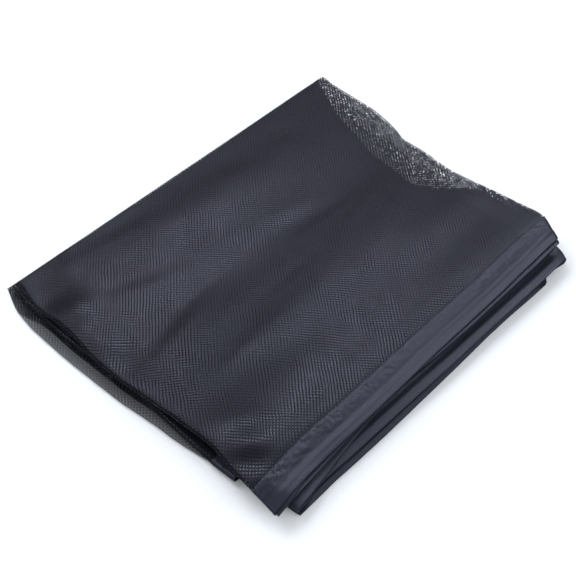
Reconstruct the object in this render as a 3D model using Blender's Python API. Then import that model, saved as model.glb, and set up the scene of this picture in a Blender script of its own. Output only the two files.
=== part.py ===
"""Door mosquito net: one leaf of black mesh with a bound selvedge on both long sides, folded flat.

The leaf is about 0.5 m wide and 2 m long.  It is doubled across its width, so both bound selvedges
lie together along one side of the packet and a crease runs along the other.  The doubled strip is
then laid back and forth in seven levels.  X runs along the bound side, Y from the bound side to the
crease, Z up, and the origin is the middle of the underside.
"""
import math
from collections import namedtuple

import bmesh
import bpy
import numpy as np

MM = 0.001                  # the tables and sizes below are in millimetres

# Cloth
SHEET = 1.0                 # thickness of every sheet
ARM_AIR = 0.45              # air inside a doubled level
BINDING_WIDTH = 19.0
SEAM_GAP = 0.35             # between the net and its binding
LEVELS = 7

# Packet
HALF_SPAN = 140.0           # the end curves below are given across plus and minus this much of Y
CENTRE_X = 1.0              # middle of the packet's outline, moved to the origin
CENTRE_Y = -0.1

# How the sheets are divided.  All levels share these lines, so stacked sheets stay parallel
LINES_X = (-110.0, -69.0, -28.0, 13.0, 54.0, 95.0)
LINES_Y = (-99.0, -86.0, -66.0, -36.0, 3.0, 46.0, 86.0)
NEAR_X = -145.0             # the ends of the levels, about
FAR_X = 143.0
NET_START = -106.0          # the net's bound side and crease, about
NET_STOP = 118.0
CELLS_TURN = 4              # round each turn
CELLS_CREASE = 3            # round the crease
BINDING_LINES = (0.0, 6.0, 12.5, BINDING_WIDTH)

# Ends of the levels, from the bottom free end to the top free end.  The first five columns say how
# far along X the end reaches, from the bound side to the crease, and the sixth how much of its bound
# corner is drawn back.  The others give the Y of the two bound edges and of the crease.
End = namedtuple("End", "side bound quarter middle far_quarter fold corner edge_a edge_b crease")
ENDS = (
    End(-1, -129.0, -145.5, -152.8, -155.2, -144.5, 0.0, -127.5, -126.0, 136.0),
    End(+1, 119.0, 137.5, 119.0, 137.0, 158.0, 0.0, -136.0, -134.5, 123.0),
    End(-1, -143.0, -147.0, -144.5, -147.5, -141.0, 0.0, -84.0, -86.0, 131.0),
    End(+1, 137.5, 137.5, 117.0, 136.0, 159.0, 0.0, -135.5, -132.0, 118.0),
    End(-1, -139.5, -137.5, -142.0, -145.0, -141.0, 0.0, -129.5, -123.0, 126.0),
    End(+1, 139.0, 135.5, 114.5, 134.0, 164.0, 0.0, -126.0, -125.0, 113.3),
    End(-1, -154.0, -141.0, -146.5, -146.0, -141.5, 0.0, -123.5, -123.5, 121.2),
    End(+1, 152.0, 144.5, 141.0, 156.0, 157.5, 14.0, -127.3, -126.0, 111.0),
)
CORNER_START = -95.0        # Y where a drawn-back corner begins
CORNER_LENGTH = 40.0

# Levels, from the bottom up: the air under each one at the bound side, in the middle and at the
# crease, how far its lower and upper bound edges draw back half-way along, and how far the rim of
# the upper binding bends down.
Level = namedtuple("Level", "air_bound air_middle air_fold bow_lower bow_upper rim_drop")
LEVEL_ROWS = (
    Level(0.0, 0.0, 0.0, -1.0, 0.5, 0.0),
    Level(0.45, 0.45, 0.45, 2.0, 2.0, 0.0),
    Level(0.45, 0.45, 0.5, 0.0, 0.0, 0.0),
    Level(0.8, 0.5, 0.5, 6.0, 2.0, 1.6),
    Level(3.3, 0.6, 0.5, 9.0, 8.0, 0.0),
    Level(0.5, 0.5, 0.5, 8.0, 6.0, 0.0),
    Level(0.5, 0.6, 0.5, 0.0, 0.3, 0.0),
)

# Soft swells that lift the levels from SWELL_LEVEL up
Swell = namedtuple("Swell", "x y reach_x reach_y height")
SWELL_LEVEL = 4
SWELLS = (
    Swell(10.0, 30.0, 95.0, 60.0, 1.6),
    Swell(-85.0, -35.0, 50.0, 45.0, 1.5),
    Swell(70.0, -50.0, 60.0, 40.0, 0.9),
)

# The second and third levels lie askew, so those above sink at the corner that they leave empty
SAG_LEVEL = 3
SAG_SLOPE = 0.115
SAG_EASE = 22.0
SAG_START = -87.0           # Y where it starts at the near end
SAG_SKEW = -46.0 / 275.0    # change of that Y along X

# The bound side of the top levels leans down over the hollow under it
LEAN_LEVEL = 4
LEAN_SLOPE = 0.10
LEAN_EASE = 16.0
LEAN_START = -90.0
LEAN_FADE = 45.0            # length over which the lean fades out towards both ends


def smooth(value):
    """Ease from 0 to 1."""
    t = min(max(value, 0.0), 1.0)
    return t * t * (3.0 - 2.0 * t)


def ramp(distance, ease):
    """Straight slope that starts softly at zero."""
    if distance <= 0.0:
        return 0.0
    if distance < ease:
        return distance * distance / (2.0 * ease)
    return distance - 0.5 * ease


def across(y):
    """Place across the packet: 0 at the bound side, 1 at the crease."""
    return (y + HALF_SPAN) / (2.0 * HALF_SPAN)


def spline(values, t):
    """Smooth curve through evenly spaced values, level beyond both ends."""
    last = len(values) - 1
    place = min(max(t, 0.0), 1.0) * last
    i = min(int(place), last - 1)
    f = place - i
    before = values[i - 1] if i > 0 else 2.0 * values[0] - values[1]
    after = values[i + 2] if i + 2 <= last else 2.0 * values[last] - values[last - 1]
    a, b = values[i], values[i + 1]
    slope_a = 0.5 * (b - before)
    slope_b = 0.5 * (after - a)
    h = f * f * (3.0 - 2.0 * f)
    return a + (b - a) * h + slope_a * f * (1.0 - f) ** 2 - slope_b * f * f * (1.0 - f)


def end_reach(row, y):
    """X that the end of a level reaches at this Y."""
    end = ENDS[row]
    drawn_back = end.side * end.corner * smooth((CORNER_START - y) / CORNER_LENGTH)
    curve = spline((end.bound, end.quarter, end.middle, end.far_quarter, end.fold), across(y))
    return curve - drawn_back


def air_under(level, y):
    """Air between a level and the one below it."""
    row = LEVEL_ROWS[level]
    return spline((row.air_bound, row.air_middle, row.air_fold), across(y))


def sag(x, y):
    """How far the upper levels sink beyond the askew edge of the third level."""
    start = SAG_START + SAG_SKEW * (x - NEAR_X)
    return SAG_SLOPE * ramp(start - y, SAG_EASE)


def swell(x, y):
    """Lift of the soft swells at one place."""
    lift = 0.0
    for bump in SWELLS:
        u = (x - bump.x) / bump.reach_x
        v = (y - bump.y) / bump.reach_y
        lift += bump.height * math.exp(-u * u - v * v)
    return lift


def lean(x, y):
    """How far the bound side of the top levels leans down."""
    fade = smooth((x - NEAR_X) / LEAN_FADE) * smooth((FAR_X - x) / LEAN_FADE)
    return LEAN_SLOPE * ramp(LEAN_START - y, LEAN_EASE) * fade


def height(sheet, x, y):
    """Height of the middle of a sheet, the sheets counted from 0 at the bottom."""
    level = sheet // 2
    z = SHEET * (sheet + 0.5) + ARM_AIR * ((sheet + 1) // 2)
    for below in range(1, level + 1):
        z += air_under(below, y)
    if level >= SAG_LEVEL:
        z -= sag(x, y)
    if level >= SWELL_LEVEL:
        z += swell(x, y)
    if level >= LEAN_LEVEL:
        z -= lean(x, y)
    return z


def arm_sheets(level, arm):
    """Sheet of arm 0 or 1 in a level: the arms swap places at each turn."""
    lower = 2 * level
    return lower + (arm if level % 2 == 0 else 1 - arm)


def straight_end(row, y):
    """X at which the flat part of a level stops and its turn begins."""
    reach = end_reach(row, y)
    if row in (0, LEVELS):
        return reach
    outer_low = height(2 * row - 2, reach, y)
    outer_high = height(2 * row + 1, reach, y)
    return reach - ENDS[row].side * (0.5 * (outer_high - outer_low) + 0.5 * SHEET)


# A station is one line across the strip: a column of a level, or an angle round a turn
Station = namedtuple("Station", "level column angle")
LAST_COLUMN = len(LINES_X) + 3


def stations():
    """Stations along the strip, from the bottom free end to the top free end."""
    line = []
    for level in range(LEVELS):
        columns = list(range(LAST_COLUMN + 1))
        if level % 2 == 1:
            columns.reverse()
        line += [Station(level, column, 0.0) for column in columns]
        if level < LEVELS - 1:
            turn = [math.pi * i / CELLS_TURN for i in range(1, CELLS_TURN)]
            line += [Station(level, columns[-1], angle) for angle in turn]
    return line


def end_rows(level):
    """Rows of ENDS at the near and the far end of a level."""
    return (level, level + 1) if level % 2 == 0 else (level + 1, level)


def column_x(level, column, y):
    """X of a column: the levels' own ends, the lines they share, and one line between these."""
    near, far = end_rows(level)
    if column == 0:
        return straight_end(near, y)
    if column == LAST_COLUMN:
        return straight_end(far, y)
    if column == 1:
        return 0.5 * (straight_end(near, y) + LINES_X[0])
    if column == LAST_COLUMN - 1:
        return 0.5 * (straight_end(far, y) + LINES_X[-1])
    return LINES_X[column - 2]


def column_share(column):
    """Place of a column along the packet: 0 at the near end, 1 at the far end."""
    places = (NEAR_X, 0.5 * (NEAR_X + LINES_X[0]), *LINES_X, 0.5 * (FAR_X + LINES_X[-1]), FAR_X)
    return (places[column] - NEAR_X) / (FAR_X - NEAR_X)


def arm_point(station, arm, y):
    """Point of one arm of the doubled strip at a station."""
    level = station.level
    x = column_x(level, station.column, y)
    low = height(arm_sheets(level, arm), x, y)
    if station.angle == 0.0:
        return np.array((x, y, low))
    high = height(arm_sheets(level + 1, arm), x, y)
    radius = 0.5 * (high - low)
    reach = ENDS[level + 1].side * radius * math.sin(station.angle)
    return np.array((x + reach, y, low + radius * (1.0 - math.cos(station.angle))))


def along_level(station, start, stop):
    """Value between the near and the far end of a level."""
    return start + (stop - start) * column_share(station.column)


def bound_edge(station, arm):
    """Y of the bound edge of an arm at a station."""
    level = station.level
    near, far = [(ENDS[row].edge_a, ENDS[row].edge_b)[arm] for row in end_rows(level)]
    row = LEVEL_ROWS[level]
    bow = row.bow_lower if arm_sheets(level, arm) % 2 == 0 else row.bow_upper
    return along_level(station, near, far) + bow * math.sin(math.pi * column_share(station.column))


def crease_line(station):
    """Y of the crease at a station."""
    near, far = end_rows(station.level)
    return along_level(station, ENDS[near].crease, ENDS[far].crease)


def net_rows(start, stop):
    """Y of the lines across one arm of the net.  A narrow, askew arm squeezes the shared ones."""
    squeeze = smooth((start - LINES_Y[0] + 8.0) / 20.0)
    rows = [start]
    for shared in LINES_Y:
        even = start + (stop - start) * (shared - NET_START) / (NET_STOP - NET_START)
        rows.append(shared + (even - shared) * squeeze)
    return rows + [stop]


def net_line(station):
    """Points across the net at a station: out along arm 0, round the crease, back along arm 1."""
    crease = crease_line(station)
    gap = arm_point(station, 1, crease) - arm_point(station, 0, crease)
    stop = crease - 0.5 * np.linalg.norm(gap) - 0.5 * SHEET
    arms = []
    for arm in (0, 1):
        start = bound_edge(station, arm) + BINDING_WIDTH + SEAM_GAP
        arms.append([arm_point(station, arm, y) for y in net_rows(start, stop)])
    middle = 0.5 * (arms[0][-1] + arms[1][-1])
    half = 0.5 * (arms[0][-1] - arms[1][-1])
    outward = np.array((0.0, np.linalg.norm(half), 0.0))
    crease_points = []
    for i in range(1, CELLS_CREASE):
        angle = math.pi * i / CELLS_CREASE
        crease_points.append(middle + half * math.cos(angle) + outward * math.sin(angle))
    return arms[0] + crease_points + arms[1][::-1]


def rim_drop(station, edge):
    """How far the rim of a binding bends down, where there is a hollow under it."""
    share = column_share(station.column)
    x = NEAR_X + (FAR_X - NEAR_X) * share
    return LEVEL_ROWS[station.level].rim_drop * smooth(0.6 * sag(x, edge)) * smooth(6.0 * share)


def binding_line(station, arm):
    """Points across the binding of an arm at a station, from its free edge inwards."""
    edge = bound_edge(station, arm)
    points = [arm_point(station, arm, edge + offset) for offset in BINDING_LINES]
    if station.angle == 0.0 and arm_sheets(station.level, arm) % 2 == 1:
        points[0][2] -= rim_drop(station, edge)
    return points


def unit(vectors):
    """Vectors scaled to length one."""
    return vectors / np.linalg.norm(vectors, axis=-1, keepdims=True)


def tangents(grid, axis):
    """Mean direction of a grid's lines at each point, and the cosine of half the bend there."""
    steps = unit(np.diff(grid, axis=axis))
    first = np.take(steps, [0], axis=axis)
    last = np.take(steps, [-1], axis=axis)
    before = np.concatenate((first, steps), axis=axis)
    after = np.concatenate((steps, last), axis=axis)
    mean = 0.5 * (before + after)
    return unit(mean), np.linalg.norm(mean, axis=-1, keepdims=True)


def half_thickness(grid):
    """Offsets from the middle of a sheet to its upper face, lengthened where the sheet bends."""
    along, bend_along = tangents(grid, 0)
    sideways, bend_sideways = tangents(grid, 1)
    return unit(np.cross(along, sideways)) * 0.5 * SHEET / (bend_along * bend_sideways)


def solid_sheet(name, grid, material):
    """Closed solid of one sheet, half its thickness to each side of a grid of points."""
    rows, columns = grid.shape[:2]
    offset = half_thickness(grid)
    shift = np.array((CENTRE_X, CENTRE_Y, 0.0))
    mesh = bpy.data.meshes.new(name)
    bm = bmesh.new()
    sides = []
    for points in (grid + offset, grid - offset):
        places = (points - shift) * MM
        sides.append([[bm.verts.new(places[i, j]) for j in range(columns)] for i in range(rows)])
    upper, lower = sides
    for side in sides:
        for i in range(rows - 1):
            for j in range(columns - 1):
                bm.faces.new((side[i][j], side[i + 1][j], side[i][j + 1]))
                bm.faces.new((side[i + 1][j], side[i + 1][j + 1], side[i][j + 1]))
    rim = [(i, 0) for i in range(rows)]
    rim += [(rows - 1, j) for j in range(1, columns)]
    rim += [(i, columns - 1) for i in range(rows - 2, -1, -1)]
    rim += [(0, j) for j in range(columns - 2, 0, -1)]
    for here, there in zip(rim, rim[1:] + rim[:1]):
        bm.faces.new((upper[there[0]][there[1]], upper[here[0]][here[1]],
                      lower[here[0]][here[1]], lower[there[0]][there[1]]))
    bmesh.ops.recalc_face_normals(bm, faces=bm.faces)
    bm.to_mesh(mesh)
    bm.free()
    mesh.materials.append(material)
    piece = bpy.data.objects.new(name, mesh)
    bpy.context.scene.collection.objects.link(piece)
    return piece


def plain_material(name, colour, roughness):
    """Principled material of one colour."""
    material = bpy.data.materials.new(name)
    material.use_nodes = True
    shader = material.node_tree.nodes["Principled BSDF"]
    shader.inputs["Base Color"].default_value = (*colour, 1.0)
    shader.inputs["Roughness"].default_value = roughness
    shader.inputs["Metallic"].default_value = 0.0
    return material


def build():
    """Make the net and its two bindings."""
    for old in list(bpy.data.objects):
        bpy.data.objects.remove(old, do_unlink=True)
    line = stations()
    mesh_cloth = plain_material("net_mesh", (0.030, 0.031, 0.042), 0.75)
    tape_cloth = plain_material("satin_binding", (0.060, 0.065, 0.085), 0.45)
    solid_sheet("net", np.array([net_line(station) for station in line]), mesh_cloth)
    for arm, name in ((1, "binding_upper"), (0, "binding_lower")):
        grid = np.array([binding_line(station, arm) for station in line])
        solid_sheet(name, grid, tape_cloth)


build()
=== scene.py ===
# %% [markdown]
# # A folded door mosquito net
# The object is one leaf of a door net: a long panel of knitted mesh with a satin tape sewn along
# both long edges. It is doubled across its width and laid back and forth into a flat packet.
# The packed CAD model is the frame of this lesson. Its three thick solids are replaced by thin
# cloth that follows the same folds, and everything below is worked out from a few short tables.

# %% Load the frame
import math
from collections import namedtuple

import bpy
import numpy as np
from mathutils import Matrix, Vector, noise


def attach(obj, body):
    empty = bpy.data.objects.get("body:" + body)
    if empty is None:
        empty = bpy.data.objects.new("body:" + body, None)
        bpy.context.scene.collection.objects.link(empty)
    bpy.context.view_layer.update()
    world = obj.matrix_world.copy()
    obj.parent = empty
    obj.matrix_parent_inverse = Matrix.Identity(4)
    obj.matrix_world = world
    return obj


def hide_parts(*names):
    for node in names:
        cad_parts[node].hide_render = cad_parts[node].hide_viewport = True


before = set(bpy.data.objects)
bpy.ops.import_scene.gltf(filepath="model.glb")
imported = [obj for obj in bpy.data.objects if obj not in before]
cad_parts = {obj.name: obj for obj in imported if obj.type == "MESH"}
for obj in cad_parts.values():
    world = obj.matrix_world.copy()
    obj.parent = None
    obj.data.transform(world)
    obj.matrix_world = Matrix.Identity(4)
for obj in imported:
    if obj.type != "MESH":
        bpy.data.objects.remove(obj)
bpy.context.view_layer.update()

# %% [markdown]
# ## The packet's sizes
# Cloth that is folded flat is easiest to describe as a stack of sheets. Here every level of the
# packet is doubled, so seven levels make fourteen sheets. One table holds the eight ends between
# which the levels run back and forth, and another the air under each level and how its edges
# bow. All lengths are millimetres until the very end, because they are easier to read that way.
# X runs along the bound edges, Y from the bound edges to the crease and Z up.

# %% Levels and their ends
MM = 0.001
SHEET = 1.0              # room that the solid model gives one sheet
ARM_AIR = 0.45           # air inside a doubled level
TAPE = 19.0              # width of the satin tape
TUCK = 2.5               # how far the net reaches under the tape
LEVELS = 7
SPAN = 140.0             # the tables cross the packet from -SPAN to +SPAN
NEAR_X, FAR_X = -145.0, 143.0        # a level's ends before they are bent to their curves
CENTRE = np.array((1.0, -0.1, 0.0))  # the place in the tables that becomes the origin

# the side on which an end lies, and the Y of its two bound edges and of its crease
End = namedtuple("End", "side edge_a edge_b crease")
ENDS = (
    End(-1, -125.3, -129.1, 136.0),
    End(+1, -131.5, -136.5, 123.0),
    End(-1, -84.0, -86.0, 131.0),
    End(+1, -137.0, -133.0, 118.0),
    End(-1, -128.8, -123.0, 126.0),
    End(+1, -126.0, -125.0, 113.3),
    End(-1, -124.7, -122.7, 121.4),
    End(+1, -129.0, -126.5, 111.2),
)

# air under a level at the bound side, in the middle and at the crease, how far its lower and
# upper bound edges draw back half-way along, and how far the upper rim bends down
Level = namedtuple("Level", "air_bound air_middle air_fold bow_lower bow_upper rim_drop")
LEVEL_ROWS = (
    Level(0.0, 0.0, 0.0, -1.0, 0.5, 0.0),
    Level(0.45, 0.45, 0.45, 2.0, 2.0, 0.0),
    Level(0.45, 0.45, 0.5, 0.0, 0.0, 0.0),
    Level(0.8, 0.5, 0.5, 6.0, 2.0, 0.5),
    Level(3.3, 0.6, 0.5, 9.0, 8.0, 0.0),
    Level(0.5, 0.5, 0.5, 8.0, 6.0, 0.0),
    Level(0.5, 0.6, 0.5, 0.0, 0.3, 0.0),
)

print("sheets in the stack:", 2 * LEVELS)

# %% [markdown]
# Seen from above no end is straight: it bows in and out by a centimetre or two, and each in its
# own way. The next table says how far along X each of the eight ends reaches at a place in Y. The
# first and the last are the cloth's own free ends, and the others are turns.

# %% How far the ends reach
Wave = namedtuple("Wave", "at reach")
REACHES = (
    (Wave(-140, -132), Wave(-131, -134), Wave(-127, -135), Wave(-110, -136), Wave(-86, -141),
     Wave(-58, -146.4), Wave(-39, -149), Wave(-19, -150.2), Wave(6, -153), Wave(27, -154),
     Wave(64, -155), Wave(96, -154.2), Wave(115, -151.5), Wave(136, -143), Wave(145, -138)),
    (Wave(-140, 110), Wave(-134, 116), Wave(-126, 130), Wave(-100, 141), Wave(-60, 142),
     Wave(-36, 131), Wave(-14, 118), Wave(6, 124), Wave(32, 128), Wave(58, 138), Wave(86, 145),
     Wave(120, 156)),
    (Wave(-140, -143), Wave(-70, -147), Wave(0, -144.5), Wave(70, -147), Wave(110, -145.5),
     Wave(140, -141)),
    (Wave(-140, 132), Wave(-136, 134.6), Wave(-129, 139), Wave(-95, 142.5), Wave(-60, 142),
     Wave(-44, 138), Wave(-34, 130), Wave(-14, 117), Wave(7, 120), Wave(32, 123),
     Wave(58, 131.5), Wave(83, 140.5), Wave(116, 157)),
    (Wave(-140, -138), Wave(-125, -138.5), Wave(-70, -137.5), Wave(0, -142), Wave(70, -145),
     Wave(140, -141)),
    (Wave(-140, 131), Wave(-132, 135), Wave(-98, 142.5), Wave(-63, 142), Wave(-48, 137),
     Wave(-37.5, 126), Wave(-17, 113), Wave(3, 116.5), Wave(28, 119.5), Wave(54, 128),
     Wave(79, 136.8), Wave(110, 154.6)),
    (Wave(-140, -150), Wave(-124, -149.9), Wave(-114, -149), Wave(-94, -148), Wave(-84, -146.5),
     Wave(-65, -143.6), Wave(-55, -144.2), Wave(-29, -145.8), Wave(-4, -147.2), Wave(15, -148.7),
     Wave(37, -148.4), Wave(60, -145.6), Wave(73, -145.4), Wave(86, -146.7), Wave(100, -146.6),
     Wave(107, -144.4), Wave(123, -141.7)),
    (Wave(-140, 127), Wave(-128, 133.5), Wave(-126, 135), Wave(-116.5, 141.2), Wave(-108, 145.5),
     Wave(-102, 147.3), Wave(-95, 146), Wave(-71, 144.3), Wave(-47, 140.9), Wave(-28, 139.6),
     Wave(-4, 142.8), Wave(18, 143.3), Wave(31, 150.6), Wave(55, 155.7), Wave(86, 156.3),
     Wave(111, 157)),
)

print("ends of the levels:", len(REACHES))

# %% [markdown]
# The bound edges wander in the same way. Only those that show need a table of their own: the two
# of the top level, the one at the lip of the hollow below it, and the one nearest the floor. It
# says how far each reaches in Y at a place in X, by the number of its sheet.

# %% How far the bound edges reach
RIMS = {
    13: (Wave(-145, -122.7), Wave(-135, -122.1), Wave(-119, -121), Wave(-99, -120.6),
         Wave(-69, -121.7), Wave(-34, -122.5), Wave(0, -122.8), Wave(35, -123.9), Wave(70, -124.9),
         Wave(100, -124.9), Wave(124, -125.5), Wave(143, -126.5)),
    12: (Wave(-145, -124.7), Wave(-130, -123.2), Wave(-110, -119), Wave(-60, -119),
         Wave(-20, -122), Wave(1, -124.1), Wave(36, -126.1), Wave(71, -127), Wave(101, -127.6),
         Wave(125, -128.4), Wave(143, -129)),
    7: (Wave(-145, -128.8), Wave(-137, -128.4), Wave(-128, -126.4), Wave(-116, -126.4),
        Wave(-106, -126.9), Wave(-93, -127.8), Wave(-64, -128.8), Wave(-29, -130.5),
        Wave(6, -132.6), Wave(42, -133.8), Wave(77, -135.4), Wave(108, -136.5), Wave(143, -137)),
    1: (Wave(-145, -129.1), Wave(-112, -129), Wave(-92, -130), Wave(-61, -131.2),
        Wave(-24, -132.1), Wave(12, -132.9), Wave(48, -133.3), Wave(84, -134.4),
        Wave(143, -136.5)),
}
print("bound edges that show:", sorted(RIMS))

# %% [markdown]
# ## Curves between the numbers
# A table gives only a few places, so small helpers fill in the rest: an ease, a slope that starts
# softly, a smooth curve through evenly spaced values and a rounded line through uneven ones. They
# take whole numpy rows at once, which keeps the building of a hundred thousand points quick.

# %% Curve helpers
def smooth(value):
    """Ease from 0 to 1, flat at both ends."""
    t = np.clip(value, 0.0, 1.0)
    return t * t * (3.0 - 2.0 * t)


def ramp(distance, ease):
    """A slope of one that starts at distance 0 and bends in over the ease."""
    d = np.maximum(distance, 0.0)
    return np.where(d < ease, d * d / (2.0 * ease), d - 0.5 * ease)


def spline(values, y):
    """Smooth curve through evenly spaced values, from -SPAN to +SPAN."""
    last = len(values) - 1
    place = np.clip((y + SPAN) / (2.0 * SPAN), 0.0, 1.0) * last
    i = np.minimum(place.astype(int), last - 1)
    f = place - i
    v = np.array((2 * values[0] - values[1], *values, 2 * values[last] - values[last - 1]))
    a, b = v[i + 1], v[i + 2]
    slope_a, slope_b = 0.5 * (b - v[i]), 0.5 * (v[i + 3] - a)
    curve = a + (b - a) * f * f * (3 - 2 * f)
    return curve + slope_a * f * (1 - f) ** 2 - slope_b * f * f * (1 - f)


def rounded(waves, at, window=4.0):
    """Line through a table of waves, with its corners rounded off."""
    places, reaches = [w.at for w in waves], [w.reach for w in waves]
    return sum(np.interp(at + d, places, reaches) for d in np.linspace(-window, window, 9)) / 9.0


def end_reach(row, y):
    """X of the outermost point of one end."""
    return rounded(REACHES[row], y)


print("top end reaches", np.round(end_reach(7, np.array((-100.0, 0.0, 100.0))), 1))

# %% [markdown]
# ## How high each sheet lies
# The height of a sheet is the room of those under it, plus the air between the levels. Three
# things bend the stack as a whole. The second and third levels lie askew, so what is above them
# sinks at the corner that they leave empty. The bound side leans down over a hollow, and broad
# swells lift the middle.
#
# Real cloth is never that even. Two kinds of unevenness are listed, each with its place,
# direction, half-length, half-width and height. A crease is a soft ridge, or a trough when its
# height is negative. A ripple is a ridge with a trough beside it, so what it really sets is the
# slope between the two. That is what the eye sees: gloss depends on slope, and one in ten is
# enough to turn dull cloth bright. Both are strongest in the top sheet and fade downwards, so
# the sheets never cut through each other.

# %% Swells, creases and ripples
Swell = namedtuple("Swell", "x y reach_x reach_y height")
SWELLS = (Swell(10, 30, 95, 60, 1.6), Swell(-85, -35, 50, 45, 1.5), Swell(70, -50, 60, 40, 0.9))

Crease = namedtuple("Crease", "x y turn half_length half_width height")
Ripple = namedtuple("Ripple", "x y turn half_length half_width height")
FOLDS = (
    Crease(-112, 104, 30, 12, 9, 0.6),
    # pinched corner at the near end of the crease, and the slope that rises out of it
    Ripple(-134, 84, 15, 16, 17, -4.4),
    Ripple(-127, 66, 32, 16, 9, 1.03),
    # upper third: one long slope, streaks and dents beside it
    Ripple(-30, 70, -6, 70, 20, 2.3),
    Ripple(-70, 105, -8, 36, 6, -0.4),
    Ripple(34, 90, -14, 22, 12, -0.52),
    Ripple(80, 84, -10, 12, 12, -0.57),
    Ripple(-90, 62, -22, 26, 10, -0.92),
    # middle: a shallow hollow with fine lines in it
    Ripple(-20, -2, 2, 130, 34, -4.6),
    Ripple(-76, 16, -4, 50, 24, -1.49),
    Ripple(-50, -26, 2, 80, 18, -2.0),
    Ripple(-100, 33, -5, 30, 6, 0.69),
    Ripple(-94, 15, 10, 34, 7, -0.69),
    Ripple(28, 26, -8, 22, 9, 0.92),
    Ripple(44, 9, -3, 32, 4, -0.34),
    Ripple(-22, -13, -2, 40, 3.5, -0.29),
    Ripple(68, -9, 14, 30, 4, 0.29),
    Ripple(74, -20, 12, 32, 4, -0.29),
    Ripple(-90, -30, 6, 30, 4, -0.23),
    # lower third: the cloth falls towards the hem in bumps
    Ripple(-58, -62, -3, 70, 20, 2.07),
    Ripple(-34, -71, 50, 15, 8, 0.8),
    Ripple(22, -47, 12, 32, 8, 0.8),
    Ripple(10, -69, 34, 17, 9, -2.4),
    Ripple(88, -64, 0, 48, 16, 1.61),
    Ripple(-120, -72, -38, 24, 9, -0.9),
    Ripple(-133, -86, -38, 13, 9, 3.2),
    # beside the tape the cloth hangs steeper, so a steeper slope is a darker one
    Ripple(-76, -92, -2, 46, 6, 0.69),
    Ripple(22, -98, 1, 44, 4, 0.46),
    Ripple(8, -91, 0, 26, 3, -0.23),
    # the near side, where the cloth is pulled over its turn
    Ripple(-137, 28, 0, 8, 20, 1.72),
)


def bumps(table, x, y):
    """Summed height of a table's swells, creases and ripples."""
    lift = np.zeros_like(x + y)
    for b in table:
        u, v = x - b.x, y - b.y
        if isinstance(b, Swell):
            u, v = u / b.reach_x, v / b.reach_y
        else:
            c, s = math.cos(math.radians(b.turn)), math.sin(math.radians(b.turn))
            u, v = (u * c + v * s) / b.half_length, (v * c - u * s) / b.half_width
        side = v if isinstance(b, Ripple) else 1.0
        lift = lift + b.height * side * np.exp(-u * u - v * v)
    return lift


print("swells, creases and ripples:", len(SWELLS), "and", len(FOLDS))

# %% [markdown]
# Now everything that lifts or lowers a sheet is added up. The three bends of the whole stack are
# slopes that start softly at a line: the sag over the skewed levels, the lean of the bound side,
# and the droop of one corner of the hem.

# %% Heights
SAG_SLOPE, SAG_EASE, SAG_START = 0.115, 22.0, -87.0
SAG_SKEW = -46.0 / 275.0                     # the skewed levels' edge runs at this slope
LEAN_SLOPE, LEAN_EASE, LEAN_START, LEAN_FADE = 0.10, 16.0, -90.0, 45.0
DROOP_SLOPE, DROOP_EASE = 0.15, 6.0
DROOP_X, DROOP_Y = -136.6, -105.4            # a point on the slanting fold
DROOP_AWAY_X, DROOP_AWAY_Y = -0.944, -0.328  # the direction that it falls in


def sag(x, y):
    """How far the levels over the two skewed ones sink at the bound side."""
    return SAG_SLOPE * ramp(SAG_START + SAG_SKEW * (x - NEAR_X) - y, SAG_EASE)


def lean(x, y):
    """How far the bound side leans down, less towards both ends."""
    fade = smooth((x - NEAR_X) / LEAN_FADE) * smooth((FAR_X - x) / LEAN_FADE)
    return LEAN_SLOPE * ramp(LEAN_START - y, LEAN_EASE) * fade


def droop(x, y):
    """How far the near end of the hem hangs down, beyond a slanting fold."""
    away = DROOP_AWAY_X * (x - DROOP_X) + DROOP_AWAY_Y * (y - DROOP_Y)
    return DROOP_SLOPE * ramp(away, DROOP_EASE)


FLAT_SHEETS, TOP_SHEET = 7, 2 * LEVELS - 1


def height(sheet, x, y):
    """Height of a sheet, the sheets counted from 0 at the bottom."""
    level = sheet // 2
    z = np.zeros_like(x + y) + SHEET * (sheet + 0.5) + ARM_AIR * ((sheet + 1) // 2)
    for row in LEVEL_ROWS[1:level + 1]:
        z = z + spline((row.air_bound, row.air_middle, row.air_fold), y)
    if level >= 3:
        z = z - sag(x, y)
    if level >= 4:
        z = z + bumps(SWELLS, x, y) - lean(x, y)
    if sheet > FLAT_SHEETS:
        share = sheet - FLAT_SHEETS
        z = z + (bumps(FOLDS, x, y) - droop(x, y)) * share / (TOP_SHEET - FLAT_SHEETS)
    return z


middle = np.array((0.0,))
print("top of the middle, mm:", round(float(height(TOP_SHEET, middle, middle)[0]), 1))

# %% [markdown]
# ## From the stack to one long strip
# A folded strip is one surface, so it is built as one grid. A station is a line across the
# strip: somewhere on a level, or at some angle round a turn. Going from station to station walks
# along the whole cloth, from the free end underneath to the free end on top. The two arms of the
# doubled strip swap places at every turn, as they do in real folding.
#
# The grid is fine on the top level, which shows most, and coarser below it.

# %% Stations along the strip
TOP_COLUMNS, LOW_COLUMNS, TURN_STEPS = 128, 40, 10
Station = namedtuple("Station", "level share angle")


def stations():
    """All stations from the bottom level to the top one, with the turns between them."""
    line = []
    for level in range(LEVELS):
        count = TOP_COLUMNS if level == LEVELS - 1 else LOW_COLUMNS
        shares = np.linspace(0.0, 1.0, count + 1)
        if level % 2:
            shares = shares[::-1]
        line += [Station(level, share, 0.0) for share in shares]
        if level < LEVELS - 1:
            angles = [math.pi * i / TURN_STEPS for i in range(1, TURN_STEPS)]
            line += [Station(level, shares[-1], angle) for angle in angles]
    return line


def arm_sheet(level, arm):
    """Sheet of arm 0 or 1 in a level."""
    return 2 * level + (arm if level % 2 == 0 else 1 - arm)


def end_rows(level):
    """Rows of ENDS at the near and the far end of a level."""
    return (level, level + 1) if level % 2 == 0 else (level + 1, level)


LOW_END_GAP, TOP_END_GAP = 8.0, -3.2     # between the two arms of each free end


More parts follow.
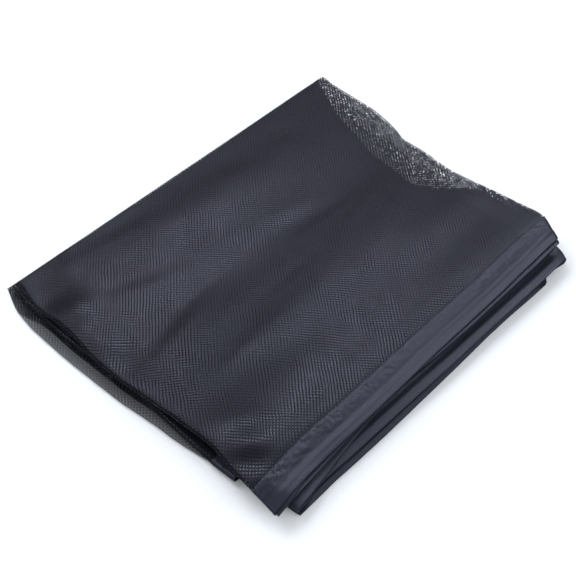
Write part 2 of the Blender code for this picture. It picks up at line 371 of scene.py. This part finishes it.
def drawn_back(row, arm, y):
    """How far one arm of a free end stops short of the other."""
    if row == 0 and arm == 0:
        return LOW_END_GAP * smooth((118.0 - y) / 30.0)
    if row == LEVELS and arm == 1:
        return TOP_END_GAP * smooth((y - 24.0) / 10.0) * smooth((106.0 - y) / 14.0)
    return 0.0


def straight_end(row, arm, y):
    """X where the flat part of a level stops and its turn begins."""
    reach = end_reach(row, y)
    if row in (0, LEVELS):
        return reach + drawn_back(row, arm, y)
    tall = height(2 * row + 1, reach, y) - height(2 * row - 2, reach, y)
    return reach - ENDS[row].side * (0.5 * tall + 0.5 * SHEET)


strip = stations()
print("stations along the strip:", len(strip))

# %% [markdown]
# A station has to become points. On a level it crosses the sheet nearly straight, and it bends
# near both ends until it runs along the end's own curve. Round a turn it moves on a half circle
# from the lower level to the upper one.

# %% Points at a station
END_BEND = 0.34          # share of a level over which its stations bend to meet an end


def level_x(station, arm, y):
    """X of a station at each Y: even steps, bent near both ends to meet the ends' curves."""
    near, far = (straight_end(row, arm, y) for row in end_rows(station.level))
    x = NEAR_X + (FAR_X - NEAR_X) * station.share
    x = x + (near - NEAR_X) * smooth(1.0 - station.share / END_BEND)
    return x + (far - FAR_X) * smooth(1.0 - (1.0 - station.share) / END_BEND)


def arm_points(station, arm, y):
    """Points of one arm at a station, a row of (x, y, z)."""
    x = level_x(station, arm, y)
    z = height(arm_sheet(station.level, arm), x, y)
    if station.angle:
        radius = 0.5 * (height(arm_sheet(station.level + 1, arm), x, y) - z)
        z = z + radius * (1.0 - math.cos(station.angle))
        x = x + ENDS[station.level + 1].side * radius * math.sin(station.angle)
    return np.stack((x, y, z), axis=-1)


def bound_edge(station, arm):
    """Y of the free rim of a tape at a station."""
    sheet = arm_sheet(station.level, arm)
    if sheet in RIMS:
        return float(rounded(RIMS[sheet], NEAR_X + (FAR_X - NEAR_X) * station.share))
    near, far = ((ENDS[row].edge_a, ENDS[row].edge_b)[arm] for row in end_rows(station.level))
    row = LEVEL_ROWS[station.level]
    bow = row.bow_lower if sheet % 2 == 0 else row.bow_upper
    return near + (far - near) * station.share + bow * math.sin(math.pi * station.share)


def crease_y(station):
    """Y at which the two arms turn into each other."""
    near, far = (ENDS[row].crease for row in end_rows(station.level))
    return near + (far - near) * station.share


edge_now = round(bound_edge(strip[0], 0), 1)
print("the cloth starts with its bound edge at Y, mm:", edge_now)

# %% [markdown]
# ## The cloth's own measure
# A mesh pattern has to follow the threads, not the room, so every point of the cloth also gets
# its place on the flat, unfolded panel: how far along the strip it lies, and how far from the hem.
# On a level that is simply its X and Y. Round a turn it is the length of the arc. Where a turn is
# slanted the two don't meet exactly, and the difference is let out softly over the next few
# centimetres, as a pulled fabric does it.

# %% Grids of points
NET_COLUMNS = (40, 88)   # cells across arm 0 and arm 1
COLUMN_EASE = 1.12       # the cells widen a little from the hem to the crease
CREASE_STEPS = 8
TUCK_DROP, TUCK_FLAT, TUCK_EASE = 0.6, 1.5, 3.2     # how the hem dips under the tape
PULL_FADE = 35.0         # distance over which a slanted turn's pull is let out


def net_line(station):
    """Points across the net: out along arm 0, round the crease, back along arm 1."""
    crease = crease_y(station)
    at_crease = np.array((crease,))
    gap = arm_points(station, 1, at_crease)[0] - arm_points(station, 0, at_crease)[0]
    stop = crease - 0.5 * np.linalg.norm(gap) - 0.5 * SHEET
    arms, offsets = [], []
    for arm in (0, 1):
        start = bound_edge(station, arm) + TAPE - TUCK
        ys = start + (stop - start) * np.linspace(0.0, 1.0, NET_COLUMNS[arm] + 1) ** COLUMN_EASE
        points = arm_points(station, arm, ys)
        points[:, 2] -= TUCK_DROP * smooth(1.0 - (ys - start - TUCK_FLAT) / TUCK_EASE)
        arms.append(points)
        offsets.append(ys - start)
    middle = 0.5 * (arms[0][-1] + arms[1][-1])
    half = 0.5 * (arms[0][-1] - arms[1][-1])
    reach = np.linalg.norm(half)
    outward = np.array((0.0, reach, 0.0))
    angles = [math.pi * i / CREASE_STEPS for i in range(1, CREASE_STEPS)]
    bend = np.array([middle + half * math.cos(a) + outward * math.sin(a) for a in angles])
    arc = reach * np.array(angles)
    points = np.concatenate((arms[0], bend, arms[1][::-1]))
    from_hem = np.concatenate((offsets[0], offsets[0][-1] + arc, offsets[1][::-1]))
    back = np.concatenate((offsets[0], offsets[1][-1] + arc[::-1], offsets[1][::-1]))
    return points, from_hem, -back


def along_strip(points, line):
    """How far along the unfolded strip each point of a grid lies."""
    u = np.zeros(points.shape[:2])
    steps = np.linalg.norm(np.diff(points, axis=0), axis=2)
    base, pull, level = 0.0, 0.0, 0
    origin = points[0, :, 0]
    for i, station in enumerate(line):
        walk = 1.0 if station.level % 2 == 0 else -1.0
        if station.level != level and not station.angle:
            level, origin = station.level, points[i, :, 0]
            reached = u[i - 1] + steps[i - 1]
            base = np.mean(reached - walk * origin)
            pull = reached - (base + walk * origin)
        x = points[i, :, 0]
        if station.angle:
            u[i] = u[i - 1] + steps[i - 1]
        else:
            u[i] = base + walk * x + pull * np.exp(-np.abs(x - origin) / PULL_FADE)
    return u


net_points, net_v, net_v_back = (np.array(part) for part in zip(*(net_line(s) for s in strip)))
net_u = along_strip(net_points, strip)
print("net grid:", net_points.shape, "length along the strip:", round(float(np.ptp(net_u)), 0))

# %% [markdown]
# ## The tape's shape
# The tape is a strip of satin folded over the edge of the mesh and sewn down. Across its width it
# isn't flat: it is highest just outside the seam, sinks to a trough where the mesh inside it
# ends, and rises again to a soft ridge before the rim. The sewing also gathers it into puckers.
# They are random in reality and come from a smooth noise here. A few are listed one by one.

# %% Tape's profile and folds
TAPE_COLUMNS = 34

# height at a distance from the tape's inner edge
Profile = namedtuple("Profile", "inside height")
PROFILE = (Profile(0, -0.10), Profile(0.8, 0.42), Profile(2.2, 0.42), Profile(5, 0.10),
           Profile(8, -0.28), Profile(10.2, -0.60), Profile(11.4, -0.52), Profile(14, 0.10),
           Profile(15.6, 0.03), Profile(17.6, 0.22), Profile(19, 0.1))
TAPE_FOLDS = (
    Crease(105, -111.3, -1, 42, 1.5, 0.28),
    Crease(100, -108.4, -1, 42, 1.4, -0.22),
    Crease(100, -119.5, -1, 42, 1.6, -0.16),
    Crease(-118, -106, 8, 9, 3.0, 0.55),
    Crease(-106, -107.5, -12, 8, 1.8, 0.40),
    Crease(-101, -110, 6, 14, 1.6, -0.35),
    Crease(-83, -108.5, 4, 9, 1.6, 0.30),
    Crease(-60, -108, -6, 10, 1.5, 0.25),
    Crease(-128, -112, -50, 9, 3.0, 0.35),
)
print("places across the tape:", TAPE_COLUMNS + 1, "folds by hand:", len(TAPE_FOLDS))

# %% [markdown]
# A tape follows the sheet that it binds, with the profile on top. At a turn the profile fades
# away, because the cloth is pulled smooth there. Only the upper tape on the top level gets the
# puckers and the listed folds, and the rim nearest the floor bends down towards it.

# %% Tape grids
PUCKER = 0.2             # height of the puckers beside the seam
PUCKERED = 8.0           # they start this far from the free rim
FLOOR_SHEET, FLOOR_DROP, FLOOR_RIM = 1, 1.3, 3.6     # the rim that bends towards the floor
TURN_FADE, NEAR_FADE = 12.0, 14.0    # the higher, the sooner the profile is back past an end


def pucker(x, y):
    """Uneven waves that slant across the seam, higher towards the near end."""
    wave = noise.noise(Vector((0.13 * x + 0.3 * y, 0.08 * y, 3.0)))
    wave += 0.6 * noise.noise(Vector((0.35 * x + 0.5 * y, 0.2 * y, 9.0)))
    return wave * (1.0 + 1.8 * smooth((-60.0 - x) / 60.0))


def tape_line(station, arm):
    """Points across a tape, from its free rim inwards, with its place across the tape."""
    edge = bound_edge(station, arm)
    across = np.linspace(0.0, TAPE, TAPE_COLUMNS + 1)
    points = arm_points(station, arm, edge + across)
    if station.angle:
        return points, across
    sheet = arm_sheet(station.level, arm)
    to_turn = min(station.share, 1.0 - station.share)
    turned = smooth(1.0 - TURN_FADE * to_turn) if 0 < station.level < LEVELS - 1 else 0.0
    share = 1.0 if sheet == TOP_SHEET else 0.5
    near = smooth(station.share * NEAR_FADE)
    points[:, 2] += share * near * (1.0 - turned) * np.interp(TAPE - across, *zip(*PROFILE))
    if sheet % 2:
        x = NEAR_X + (FAR_X - NEAR_X) * station.share
        hollow = smooth(0.6 * sag(x, edge)) * smooth(6.0 * station.share)
        drop = LEVEL_ROWS[station.level].rim_drop * hollow
        points[:, 2] -= drop * np.maximum(1.0 - across / 6.0, 0.0)
    if sheet == FLOOR_SHEET:
        points[:, 2] -= FLOOR_DROP * near * np.maximum(1.0 - across / FLOOR_RIM, 0.0)
    if sheet == TOP_SHEET:
        hem = smooth((across - PUCKERED) / 3.0) * near
        for k, (x, y, _) in enumerate(points):
            points[k, 2] += PUCKER * hem[k] * pucker(x, y)
        points[:, 2] += near * bumps(TAPE_FOLDS, points[:, 0], points[:, 1])
    return points, across


tape_grids = {}
for arm, name in ((1, "upper"), (0, "lower")):
    points, across = (np.array(part) for part in zip(*(tape_line(s, arm) for s in strip)))
    tape_grids[name] = (points, along_strip(points, strip), across)
    print(name, "tape grid:", points.shape)

# %% [markdown]
# ## Turning grids into cloth
# Each grid becomes a mesh of quads. Its UV map holds the unfolded place of every point, in metres,
# so a pattern one centimetre wide in the material is one centimetre wide on the cloth.

# %% Mesh maker
def cloth(name, points, u, v, v_back=None, split=None):
    """A sheet from a grid. Columns from `split` on are measured from the other hem, by v_back."""
    rows, columns = points.shape[:2]
    places = (points - CENTRE) * MM
    index = np.arange(rows * columns).reshape(rows, columns)
    quads = np.stack((index[:-1, :-1], index[1:, :-1], index[1:, 1:], index[:-1, 1:]), axis=-1)
    mesh = bpy.data.meshes.new(name)
    mesh.from_pydata(places.reshape(-1, 3).tolist(), [], quads.reshape(-1, 4).tolist())
    near = np.stack((u, v), axis=-1) * MM
    far = near if v_back is None else np.stack((u, v_back), axis=-1) * MM
    corners = [(0, 0), (1, 0), (1, 1), (0, 1)]
    take = lambda uv: np.stack([uv[i:rows - 1 + i, j:columns - 1 + j] for i, j in corners], axis=2)
    loops = take(near)
    if split:
        loops[:, split:] = take(far)[:, split:]
    layer = mesh.uv_layers.new(name="Flat")
    layer.data.foreach_set("uv", loops.reshape(-1).tolist())
    mesh.polygons.foreach_set("use_smooth", [True] * len(mesh.polygons))
    mesh.update()
    piece = bpy.data.objects.new(name, mesh)
    bpy.context.scene.collection.objects.link(piece)
    print(name, "triangles:", 2 * len(mesh.polygons))
    return piece


net = cloth("net_panel", net_points, net_u, net_v, net_v_back, NET_COLUMNS[0] + CREASE_STEPS // 2)
tapes = {name: cloth(name + "_tape", *grids) for name, grids in tape_grids.items()}

# %% [markdown]
# The tape is a doubled strip, so it gets a real thickness. Solidify is the simplest way: it keeps
# the middle where the tables put it and closes the rims.

# %% Tape thickness
TAPE_THICKNESS = 0.45 * MM

for tape in tapes.values():
    thicken = tape.modifiers.new("doubled", "SOLIDIFY")
    thicken.thickness = TAPE_THICKNESS
    thicken.offset = 0.0
    thicken.use_even_offset = True
print("tape thickness, mm:", TAPE_THICKNESS / MM)

# %% [markdown]
# ## Stitches
# A line of stitches repeats one small shape along a path, which is what Geometry Nodes do best.
# The tree below puts a point on the seam line at every stitch, sets a stretched bead of thread
# there, turns it along the seam and varies its length a little. The beads are thicker than the
# tape, so one row shows on both of its faces.

# %% Stitch tree
INPUTS = {"Pitch": 3.0 * MM, "Stitch length": 2.5 * MM, "Thread": 0.72 * MM}


def stitch_tree(material):
    """Node group that sets a bead of thread at every stitch along a curve."""
    tree = bpy.data.node_groups.new("stitch_row", "GeometryNodeTree")
    sockets = tree.interface
    sockets.new_socket("Geometry", in_out="INPUT", socket_type="NodeSocketGeometry")
    for name, size in INPUTS.items():
        sockets.new_socket(name, in_out="INPUT", socket_type="NodeSocketFloat").default_value = size
    sockets.new_socket("Geometry", in_out="OUTPUT", socket_type="NodeSocketGeometry")

    def node(kind, settings=None, **values):
        made = tree.nodes.new(kind)
        for setting, value in (settings or {}).items():
            setattr(made, setting, value)
        for key, value in values.items():
            socket = made.inputs[key.replace("_", " ")]
            if isinstance(value, bpy.types.NodeSocket):
                tree.links.new(value, socket)
            else:
                socket.default_value = value
        return made.outputs

    group = node("NodeGroupInput")
    spots = node("GeometryNodeCurveToPoints", {"mode": "LENGTH"}, Curve=group["Geometry"],
                 Length=group["Pitch"])
    bead = node("GeometryNodeMeshUVSphere", Segments=6, Rings=5, Radius=0.5)
    vary = node("FunctionNodeRandomValue", Seed=7)
    low, high = vary[1].node.inputs[2], vary[1].node.inputs[3]
    low.default_value, high.default_value = 0.82, 1.08
    length = node("ShaderNodeMath", {"operation": "MULTIPLY"})
    tree.links.new(group["Stitch length"], length[0].node.inputs[0])
    tree.links.new(vary[1], length[0].node.inputs[1])
    size = node("ShaderNodeCombineXYZ", X=group["Thread"], Y=group["Thread"], Z=length[0])
    row = node("GeometryNodeInstanceOnPoints", Points=spots["Points"], Instance=bead["Mesh"],
               Rotation=spots["Rotation"], Scale=size[0])
    real = node("GeometryNodeRealizeInstances", Geometry=row["Instances"])
    soft = node("GeometryNodeSetShadeSmooth", Geometry=real["Geometry"])
    done = node("GeometryNodeSetMaterial", Geometry=soft["Geometry"], Material=material)
    node("NodeGroupOutput", Geometry=done["Geometry"])
    return tree


thread = bpy.data.materials.new("hem_thread")
rows = stitch_tree(thread)
print("nodes in the stitch tree:", len(rows.nodes))

# %% [markdown]
# The tree needs a curve to run along. One column of a tape's grid is the seam, so its points
# become a curve, the tree is put on it with its sizes, and the result is taken off as a plain
# mesh.

# %% Stitches along both seams
SEAM_INSIDE = 0.5        # the seam lies this far from the tape's inner edge


def seam_path(name, points, across):
    """Curve along the seam of one tape."""
    column = int(np.argmin(np.abs(across[0] - (TAPE - SEAM_INSIDE))))
    places = (points[:, column] - CENTRE) * MM
    curve = bpy.data.curves.new(name, "CURVE")
    curve.dimensions = "3D"
    line = curve.splines.new("POLY")
    line.points.add(len(places) - 1)
    line.points.foreach_set("co", np.c_[places, np.ones(len(places))].reshape(-1).tolist())
    path = bpy.data.objects.new(name, curve)
    bpy.context.scene.collection.objects.link(path)
    return path


def stitch_row(name, grid, tree):
    """Plain mesh of the stitches along one tape."""
    path = seam_path(name + "_path", grid[0], grid[2])
    rule = path.modifiers.new("stitches", "NODES")
    rule.node_group = tree
    for item in tree.interface.items_tree:
        if item.in_out == "INPUT" and item.name in INPUTS:
            rule[item.identifier] = INPUTS[item.name]
    seen = path.evaluated_get(bpy.context.evaluated_depsgraph_get())
    mesh = bpy.data.meshes.new_from_object(seen)
    path.modifiers.remove(rule)
    bpy.data.objects.remove(path)
    row = bpy.data.objects.new(name, mesh)
    bpy.context.scene.collection.objects.link(row)
    print(name, "triangles:", sum(len(face.vertices) - 2 for face in mesh.polygons))
    return row


stitches = {name: stitch_row(name + "_stitches", grid, rows) for name, grid in tape_grids.items()}

# %% [markdown]
# ## Writing materials as sums
# Node trees are easier to read as formulas. The class below wraps an output socket, so adding or
# multiplying two of them, or a number, adds the Math node for it. Everything that isn't plain
# arithmetic goes through one method of the recipe, which makes a node, sets its settings and
# fills its sockets.

# %% Shader formulas
class Socket:
    def __init__(self, recipe, output):
        self.recipe, self.output = recipe, output

    def math(self, operation, *values):
        return self.recipe.node("ShaderNodeMath", {"operation": operation}, dict(enumerate(values)))

    def __add__(self, other): return self.math("ADD", self, other)
    def __sub__(self, other): return self.math("SUBTRACT", self, other)
    def __rsub__(self, other): return self.math("SUBTRACT", other, self)
    def __mul__(self, other): return self.math("MULTIPLY", self, other)
    def __truediv__(self, other): return self.math("DIVIDE", self, other)
    __radd__, __rmul__ = __add__, __mul__

    def sine(self): return self.math("SINE", self)
    def cosine(self): return self.math("COSINE", self)
    def least(self, other): return self.math("MINIMUM", self, other)
    def most(self, other): return self.math("MAXIMUM", self, other)

    def rise(self, low, high):
        """Soft step from 0 at low to 1 at high."""
        settings = {"interpolation_type": "SMOOTHSTEP"}
        return self.recipe.node("ShaderNodeMapRange", settings, {0: self, 1: low, 2: high})


print("a socket can now be added, multiplied and eased")

# %% [markdown]
# The recipe holds one material. It makes nodes, and it knows the few that this lesson needs
# again and again: the place on the unfolded cloth, a cloudy noise, a blend of two colours and a
# bump. Values that are the same everywhere are set on the shader itself.

# %% Recipe for a material
class Recipe:
    def __init__(self, name, **constants):
        self.material = bpy.data.materials.get(name) or bpy.data.materials.new(name)
        self.material.use_nodes = True
        self.tree = self.material.node_tree
        self.shader = self.tree.nodes["Principled BSDF"]
        for socket, value in constants.items():
            self.shader.inputs[socket.replace("_", " ")].default_value = value

    def node(self, kind, settings=None, values=None, output=0):
        made = self.tree.nodes.new(kind)
        for setting, value in (settings or {}).items():
            setattr(made, setting, value)
        for key, value in (values or {}).items():
            self.fill(made.inputs[key], value)
        return Socket(self, made.outputs[output])

    def fill(self, socket, value):
        if isinstance(value, Socket):
            self.tree.links.new(value.output, socket)
        else:
            socket.default_value = value

    def part(self, place, axis):
        """One coordinate of a place: 0 for X, 1 for Y."""
        return self.node("ShaderNodeSeparateXYZ", None, {0: place}, axis)

    def flat_place(self):
        """Place on the unfolded cloth in metres, and its two coordinates in millimetres."""
        uv = self.node("ShaderNodeUVMap", {"uv_map": "Flat"})
        return uv, self.part(uv, 0) * 1000.0, self.part(uv, 1) * 1000.0

    def cloudy(self, place, scale, seed=0.0, detail=2.0):
        values = {"Vector": place, "W": seed, "Scale": scale, "Detail": detail}
        return self.node("ShaderNodeTexNoise", {"noise_dimensions": "4D"}, values, "Fac")

    def blend(self, share, first, second):
        settings = {"data_type": "RGBA"}
        return self.node("ShaderNodeMix", settings, {0: share, 6: first, 7: second}, 2)

    def bump(self, height, strength, distance):
        values = {"Height": height, "Strength": strength, "Distance": distance}
        return self.node("ShaderNodeBump", None, values)

    def put(self, **links):
        for socket, value in links.items():
            self.fill(self.shader.inputs[socket.replace("_", " ")], value)


print("helpers for a recipe:", [name for name in vars(Recipe) if name[0] != "_"])

# %% [markdown]
# ## The mesh
# The net is knitted, so thin runs of thread meet in knots. The knots sit like the corners and the
# middle of a rectangle, 2.63 mm along the hem and 3.0 mm across it, and there is a small hole
# between each four threads. Waves along both directions add up to one smooth height field with
# that layout: high on a knot, low in a hole. Where it is below a limit there is air, and the knots
# are painted lighter than the runs between them, a painted highlight for the light more thread
# faces.
#
# No two runs of thread are quite alike. Slow and quick noises shift the pattern by a fraction of
# a hole, so that the rows wander as they do in a fabric that has been pulled.

# %% Mesh pattern
KNOTS_ALONG, KNOTS_ACROSS, AIR_BELOW = 2.63, 3.0, 0.38
mesh_recipe = Recipe("net_mesh", Specular_IOR_Level=0.07)


uv, along, across = mesh_recipe.flat_place()


def wander(share, scale, *seed):
    """Noise round zero that moves the pattern by up to about half this share of a hole."""
    return (mesh_recipe.cloudy(uv, scale, *seed) - 0.5) * share


along = along / KNOTS_ALONG + wander(1.1, 22.0) + wander(0.7, 75.0, 7.0, 1.0)
across = across / KNOTS_ACROSS + wander(0.8, 26.0, 5.0) + wander(0.6, 75.0, 8.0, 1.0)
along, across = along * (2.0 * math.pi), across * (2.0 * math.pi)
knit = 0.5 + 0.3 * along.cosine() * across.cosine()
knit = knit + 0.1 * (along * 2.0).cosine() + 0.1 * (across * 2.0).cosine()
roundness = ((knit - AIR_BELOW) / (1.0 - AIR_BELOW)).most(0.0).least(1.0)
print("knots to a square centimetre:", round(2 * 100.0 / (KNOTS_ALONG * KNOTS_ACROSS), 1))

# %% [markdown]
# Where the bare layers of mesh stand out past the rest, on the far side, their holes meet and
# miss each other in swirls. Two stacked patterns would show that only with holes far too fine to
# render, so the swirls are drawn: the cosine of a soft noise runs up and down along its contour
# lines, a quicker noise breaks the lines up, and the holes are wider on them. The edge of that
# place is a blunt wedge that follows the rim of the layers below. Towards the bound side the
# layers lie closer, and the holes are a little smaller.

# %% Swirls on the bare rim
WEDGE_TIP = -0.018       # Y of the wedge's tip, in metres like all of this cell
WEDGE_UP, WEDGE_DOWN = 0.22, -0.45
BARE_FROM, BARE_FULL = 0.108, 0.114
place = mesh_recipe.node("ShaderNodeTexCoord", None, None, "Object")
far = mesh_recipe.part(place, 0)
past_tip = mesh_recipe.part(place, 1) - WEDGE_TIP
bare = (far - (WEDGE_UP * past_tip).most(WEDGE_DOWN * past_tip)).rise(BARE_FROM, BARE_FULL)
fringes = (mesh_recipe.cloudy(uv, 80.0, 11.0, 1.0) * 80.0).cosine().rise(0.1, 1.0)
broken = mesh_recipe.cloudy(uv, 240.0, 12.0, 1.0).rise(0.40, 0.60)
closed = (-1.0 * past_tip).rise(0.02, 0.05) * far.rise(0.115, 0.125)
thickness = knit + 0.05 * closed + bare * (0.02 - 0.24 * fringes * broken)
solid = thickness.rise(AIR_BELOW - 0.04, AIR_BELOW + 0.04)
print("the bare rim starts at X, mm:", 1000.0 * BARE_FROM)

# %% [markdown]
# The finish of the thread comes last. It is black nylon with a touch of blue, and it is smooth,
# so it shines on the tops of the knots and is dull in between. The shine stays faint, because a
# round thread throws most of the light elsewhere. Its colour holds painted light as well: lighter
# on the knots as a painted highlight, darker beside the holes as painted shade.

# %% Mesh finish
shade = mesh_recipe.cloudy(uv, 9.0, 2.0)
# painted highlight on the knots and painted shade on the thread beside the holes, set by roundness
painted_knot_highlight = mesh_recipe.blend(shade, (0.006, 0.006, 0.011, 1.0), (0.012, 0.012, 0.021, 1.0))
colour = mesh_recipe.blend(roundness, (0.003, 0.003, 0.005, 1.0), painted_knot_highlight)
mesh_recipe.put(Base_Color=colour, Alpha=solid, Roughness=0.53 - 0.34 * roundness + 0.04 * shade,
                Normal=mesh_recipe.bump(roundness, 0.08, 0.0003))
net.data.materials.append(mesh_recipe.material)
print("nodes in the mesh material:", len(mesh_recipe.tree.nodes))

# %% [markdown]
# ## The satin tape
# Satin shows long floats of thread in one direction. Close up they are fine ribs across the tape.
# From a step away they only make the gloss softer, so the ribs are a bump and the gloss changes a
# little in clouds. Beside the seam the sewing has drawn the satin into small gathers, too fine
# for the grid of points, and they are a bump as well.

# %% Satin material
RIB_ALONG, RIB_ACROSS = 0.22, 0.28       # half the spacing of the ribs, in millimetres
GATHERED_FROM, GATHERED_FULL = 8.5, 11.5     # measured from the free rim
satin = Recipe("satin_binding", Specular_IOR_Level=0.05)
uv, along, across = satin.flat_place()
clouds = satin.cloudy(uv, 45.0)
ribs = (across * (math.pi / RIB_ACROSS)).sine() * 0.5 + (along * (math.pi / RIB_ALONG)).sine() * 0.5
gathers = across.rise(GATHERED_FROM, GATHERED_FULL) * satin.cloudy(uv, 280.0, 4.0)
colour = satin.blend(clouds, (0.016, 0.017, 0.025, 1.0), (0.023, 0.024, 0.036, 1.0))
satin.put(Base_Color=colour, Roughness=0.24 + 0.10 * clouds,
          Normal=satin.bump(ribs + clouds * 3.0 + gathers * 40.0, 0.2, 0.0001))
for tape in tapes.values():
    tape.data.materials.append(satin.material)
print("nodes in the satin material:", len(satin.tree.nodes))

# %% [markdown]
# The sewing thread is darker than the tape and twisted from two plies, so a fine slanting bump
# runs round it.

# %% Thread material
twist = Recipe("hem_thread", Specular_IOR_Level=0.4)
place = twist.node("ShaderNodeTexCoord", None, None, "Object")
plies = twist.node("ShaderNodeTexWave", {"bands_direction": "DIAGONAL"},
                   {"Vector": place, "Scale": 900.0, "Distortion": 0.5}, "Fac")
ink = twist.blend(plies, (0.006, 0.006, 0.009, 1.0), (0.016, 0.016, 0.022, 1.0))
twist.put(Base_Color=ink, Roughness=0.5 + 0.1 * plies, Normal=twist.bump(plies, 0.3, 0.0001))
print("nodes in the thread material:", len(twist.tree.nodes))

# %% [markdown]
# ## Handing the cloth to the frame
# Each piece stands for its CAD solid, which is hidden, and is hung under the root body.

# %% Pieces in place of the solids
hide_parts("net")
for name, tape in tapes.items():
    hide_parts("binding_" + name)
for piece in (net, *tapes.values(), *stitches.values()):
    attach(piece, "root")
print("pieces declared:", 1 + len(tapes) + len(stitches))

# %% [markdown]
# ## Floor, light and camera
# The packet lies on a plain white floor in very even light. The world gives most of it, and a
# faint key light from behind the crease gives the bound side its soft shadow.

# %% Floor and world
floor_mesh = bpy.data.meshes.new("floor")
floor_mesh.from_pydata([(-4, -4, 0), (4, -4, 0), (4, 4, 0), (-4, 4, 0)], [], [(0, 1, 2, 3)])
floor = bpy.data.objects.new("floor", floor_mesh)
bpy.context.scene.collection.objects.link(floor)
paper = Recipe("floor_paper", Base_Color=(0.96, 0.97, 0.97, 1.0), Roughness=0.9,
               Specular_IOR_Level=0.1)
floor_mesh.materials.append(paper.material)

world = bpy.data.worlds.new("studio")
world.use_nodes = True
backdrop = world.node_tree.nodes["Background"]
backdrop.inputs["Color"].default_value = (0.90, 0.95, 0.98, 1.0)
backdrop.inputs["Strength"].default_value = 0.72
bpy.context.scene.world = world
print("floor and world ready")

# %% [markdown]
# Black cloth shows its folds almost only by gloss, so three more lights make nothing but
# highlights. The long narrow one stands where flat cloth is on the flank of its highlight: a
# slope towards it turns bright and a slope away from it turns dark. The two wide ones do the same
# for the turns at the near end and for the tapes. Their light on dull surfaces is switched off,
# or the floor would bleach.

# %% Lights
WHITE, BLUISH = (0.90, 0.92, 1.0), (0.72, 0.76, 1.0)


def softbox(name, place, length, width, power, colour):
    """A flat light, long in X, that looks at the middle of the packet."""
    light = bpy.data.lights.new(name, "AREA")
    light.shape = "RECTANGLE"
    light.size, light.size_y = length, width
    light.energy = power
    light.color = colour
    lamp = bpy.data.objects.new(name, light)
    lamp.location = place
    lamp.rotation_euler = (-Vector(place)).to_track_quat("-Z", "Y").to_euler()
    bpy.context.scene.collection.objects.link(lamp)
    return lamp


softbox("key light", (-0.12, 0.82, 1.28), 1.0, 1.0, 13.0, WHITE)
softbox("front light", (0.10, -1.20, 1.00), 1.2, 1.2, 7.0, WHITE)
for name, place, length, width, power in (
        ("gloss light", (1.50, 0.83, 2.52), 2.4, 0.22, 240.0),
        ("side gloss light", (-1.0, 1.23, 2.3), 2.6, 1.0, 110.0),
        ("rim gloss light", (1.34, -0.87, 2.30), 1.2, 1.0, 70.0)):
    softbox(name, place, length, width, power, BLUISH).visible_diffuse = False
print("lights:", len(bpy.data.lights))

# %% [markdown]
# The camera looks down steeply over the corner where the bound side meets the near end, so the
# folds of the hem, the turns at the near end and the bare rim on the far side all show at once.

# %% Camera
TURN, TILT = math.radians(47.5155), math.radians(50.8)
bpy.context.scene.view_settings.view_transform = "Standard"
right = Vector((math.cos(TURN), -math.sin(TURN), 0.0))
level_ahead = Vector((math.sin(TURN), math.cos(TURN), 0.0))
ahead = level_ahead * math.cos(TILT) - Vector((0, 0, math.sin(TILT)))
upward = right.cross(ahead)
camera = bpy.data.objects.new("camera", bpy.data.cameras.new("camera"))
camera.data.sensor_width = 36.0
camera.data.lens = 65.69
pose = Matrix((right, upward, -ahead)).transposed().to_4x4()
pose.translation = (-0.3515, -0.3171, 0.5645)
camera.matrix_world = pose
bpy.context.scene.collection.objects.link(camera)
bpy.context.scene.camera = camera
print("lens, mm:", round(camera.data.lens, 2))

# %% [markdown]
